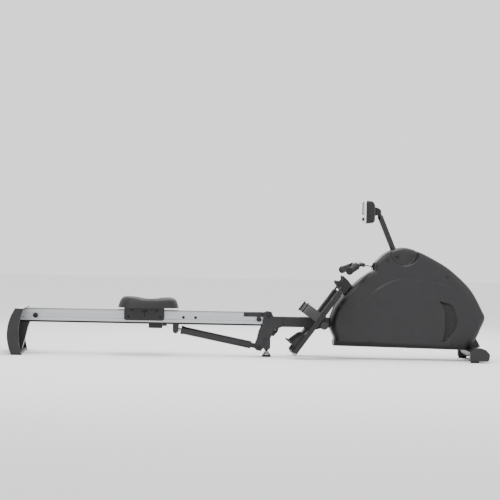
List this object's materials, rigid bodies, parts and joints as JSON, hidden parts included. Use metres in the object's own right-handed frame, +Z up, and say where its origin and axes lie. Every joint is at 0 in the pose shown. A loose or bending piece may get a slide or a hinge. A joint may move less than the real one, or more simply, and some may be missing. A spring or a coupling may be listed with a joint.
{
  "type": "rowing_machine",
  "caption": "Folding magnetic rowing machine: aluminium seat rail, moulded seat, charcoal flywheel housing, pivoting footrests, pull handle on a cord, and console on a mast",
  "frame": {"origin": "on the floor under the middle of the whole machine", "axes": "+X along the machine towards the drive housing, +Y to the rower's left, +Z up"},
  "size_m": [2.1079, 0.52, 0.705],
  "materials": {
    "frame_steel": "satin powder coat",
    "zinc": "zinc plated",
    "rail_alu": "brushed anodised",
    "shroud_plastic": "fine texture",
    "black_plastic": "moulded",
    "pad": "moulded polyurethane",
    "foot_rubber": "matt",
    "bezel_silver": "silver painted",
    "foam": "foam",
    "webbing": "woven nylon",
    "cord": "braided",
    "iron": "machined",
    "chrome_mast": "dark chrome"
  },
  "bodies": {
    "frame": {"main_beam": "frame_steel", "fold_yoke": "frame_steel", "pivot_pins": "zinc", "middle_leg": "frame_steel", "front_stabilizer": "frame_steel", "stabilizer_bracket": "frame_steel", "stabilizer_caps": "black_plastic", "front_pads": "foot_rubber", "shroud_right": "shroud_plastic", "shroud_left": "shroud_plastic", "shroud_base": "black_plastic", "shroud_vents": "black_plastic", "shroud_screws": "zinc", "cord_guide": "black_plastic", "handle_rest": "black_plastic", "footrest_axle": "frame_steel", "drive_frame": "frame_steel", "drive_shafts": "zinc", "drive_belt": "foot_rubber"},
    "leveller": {"leveller_foot": "foot_rubber"},
    "wheel_right": {"transport_wheel_right": "pad"},
    "wheel_left": {"transport_wheel_left": "pad"},
    "drum": {"drive_drum": "black_plastic"},
    "flywheel_body": {"flywheel": "iron"},
    "brake": {"brake_magnets": "frame_steel"},
    "latch": {"latch_lever": "frame_steel"},
    "rail": {"seat_rail": "rail_alu", "rail_strip": "black_plastic", "rail_hardware": "foot_rubber", "rail_bracket": "frame_steel", "strut_bracket": "frame_steel", "sensor_block": "black_plastic", "rear_leg": "frame_steel", "rear_leg_cover": "black_plastic", "rear_pads": "foot_rubber"},
    "strut_tube": {"strut_cylinder": "frame_steel"},
    "strut_inner": {"strut_rod": "zinc"},
    "seat": {"seat_pad": "pad", "seat_pan": "frame_steel", "carriage_sides": "frame_steel", "roller_axles": "zinc"},
    "roller_tr": {"top_roller_rear": "pad"},
    "roller_tf": {"top_roller_front": "pad"},
    "roller_lr": {"low_rollers_rear": "pad"},
    "roller_lf": {"low_rollers_front": "pad"},
    "pedal_right": {"footplate_right": "black_plastic", "foot_strap_right": "webbing"},
    "pedal_left": {"footplate_left": "black_plastic", "foot_strap_left": "webbing"},
    "heel_right": {"heel_cup_right": "black_plastic"},
    "heel_left": {"heel_cup_left": "black_plastic"},
    "mast_body": {"mast": "chrome_mast"},
    "console": {"console_body": "black_plastic", "console_bezel": "bezel_silver"},
    "key_right": {"button_right": "black_plastic"},
    "key_middle": {"button_middle": "black_plastic"},
    "key_left": {"button_left": "black_plastic"},
    "handle": {"handle_bar": "frame_steel", "handle_grips": "foam", "pull_cord": "cord"}
  },
  "joints": [
    {"name": "rail_fold", "type": "hinge", "parent": "frame", "child": "rail", "pos_m": [0.09, 0, 0.185], "axis": [0, 1, 0], "range_deg": [0, 78]},
    {"name": "strut_swing", "type": "hinge", "parent": "frame", "child": "strut_tube", "pos_m": [0.049, 0, 0.045], "axis": [0, 1, 0], "range_deg": [0, 70]},
    {"name": "strut_extend", "type": "slide", "parent": "strut_tube", "child": "strut_inner", "axis": [-0.981, 0, 0.1941], "range_m": [0, 0.17]},
    {"name": "seat_slide", "type": "slide", "parent": "rail", "child": "seat", "axis": [1, 0, 0], "range_m": [-0.36, 0.39]},
    {"name": "top_roller_rear_turn", "type": "hinge", "parent": "seat", "child": "roller_tr", "pos_m": [-0.515, 0, 0.2143], "axis": [0, 1, 0], "continuous": true},
    {"name": "top_roller_front_turn", "type": "hinge", "parent": "seat", "child": "roller_tf", "pos_m": [-0.406, 0, 0.2143], "axis": [0, 1, 0], "continuous": true},
    {"name": "low_rollers_rear_turn", "type": "hinge", "parent": "seat", "child": "roller_lr", "pos_m": [-0.531, 0, 0.167], "axis": [0, 1, 0], "continuous": true},
    {"name": "low_rollers_front_turn", "type": "hinge", "parent": "seat", "child": "roller_lf", "pos_m": [-0.388, 0, 0.167], "axis": [0, 1, 0], "continuous": true},
    {"name": "handle_pull", "type": "slide", "parent": "frame", "child": "handle", "axis": [0.9862, 0, -0.1655], "range_m": [-1.1, 0], "deforming": ["pull_cord"]},
    {"name": "drum_turn", "type": "hinge", "parent": "frame", "child": "drum", "pos_m": [0.65852, 0, 0.35529], "axis": [0, 1, 0], "continuous": true},
    {"name": "flywheel_turn", "type": "hinge", "parent": "frame", "child": "flywheel_body", "pos_m": [0.805, 0, 0.27], "axis": [0, 1, 0], "continuous": true},
    {"name": "brake_swing", "type": "hinge", "parent": "frame", "child": "brake", "pos_m": [0.985, 0, 0.165], "axis": [0, 1, 0], "range_deg": [0, 14]},
    {"name": "pedal_right_tilt", "type": "hinge", "parent": "frame", "child": "pedal_right", "pos_m": [0.33, -0.145, 0.15], "axis": [0, 1, 0], "range_deg": [0, 15]},
    {"name": "pedal_left_tilt", "type": "hinge", "parent": "frame", "child": "pedal_left", "pos_m": [0.33, 0.145, 0.15], "axis": [0, 1, 0], "range_deg": [0, 15]},
    {"name": "heel_right_adjust", "type": "slide", "parent": "pedal_right", "child": "heel_right", "axis": [0.5892, 0, 0.808], "range_m": [-0.02, 0.04]},
    {"name": "heel_left_adjust", "type": "slide", "parent": "pedal_left", "child": "heel_left", "axis": [0.5892, 0, 0.808], "range_m": [-0.02, 0.04]},
    {"name": "mast_tilt", "type": "hinge", "parent": "frame", "child": "mast_body", "pos_m": [0.654, 0, 0.458], "axis": [0, 1, 0], "range_deg": [-8, 14]},
    {"name": "console_tilt", "type": "hinge", "parent": "mast_body", "child": "console", "pos_m": [0.572, 0, 0.654], "axis": [0, 1, 0], "range_deg": [-15, 25]},
    {"name": "latch_release", "type": "hinge", "parent": "frame", "child": "latch", "pos_m": [0.109, 0.05, 0.112], "axis": [0, 1, 0], "range_deg": [0, 25], "stiffness_Nm_per_rad": 0.6, "springref_deg": -11.46},
    {"name": "leveller_turn", "type": "hinge", "parent": "frame", "child": "leveller", "pos_m": [0.085, 0, 0.03], "axis": [0, 0, 1], "continuous": true},
    {"name": "wheel_right_turn", "type": "hinge", "parent": "frame", "child": "wheel_right", "pos_m": [1.034, -0.24, 0.032], "axis": [0, 1, 0], "continuous": true},
    {"name": "wheel_left_turn", "type": "hinge", "parent": "frame", "child": "wheel_left", "pos_m": [1.034, 0.24, 0.032], "axis": [0, 1, 0], "continuous": true},
    {"name": "button_right_press", "type": "slide", "parent": "console", "child": "key_right", "axis": [1, 0, 0], "range_m": [0, 0.0018], "stiffness_N_per_m": 300, "springref_m": -0.001},
    {"name": "button_middle_press", "type": "slide", "parent": "console", "child": "key_middle", "axis": [1, 0, 0], "range_m": [0, 0.0018], "stiffness_N_per_m": 300, "springref_m": -0.001},
    {"name": "button_left_press", "type": "slide", "parent": "console", "child": "key_left", "axis": [1, 0, 0], "range_m": [0, 0.0018], "stiffness_N_per_m": 300, "springref_m": -0.001}
  ],
  "couplings": [
    {"joint": "strut_swing", "follows": "rail_fold", "ratio": 0.85955},
    {"joint": "strut_extend", "follows": "rail_fold", "m_per_rad": 0.1192},
    {"joint": "top_roller_rear_turn", "follows": "seat_slide", "rad_per_m": 71.429},
    {"joint": "top_roller_front_turn", "follows": "seat_slide", "rad_per_m": 71.429},
    {"joint": "low_rollers_rear_turn", "follows": "seat_slide", "rad_per_m": -117.65},
    {"joint": "low_rollers_front_turn", "follows": "seat_slide", "rad_per_m": -117.65},
    {"joint": "drum_turn", "follows": "handle_pull", "rad_per_m": 27.778}
  ]
}
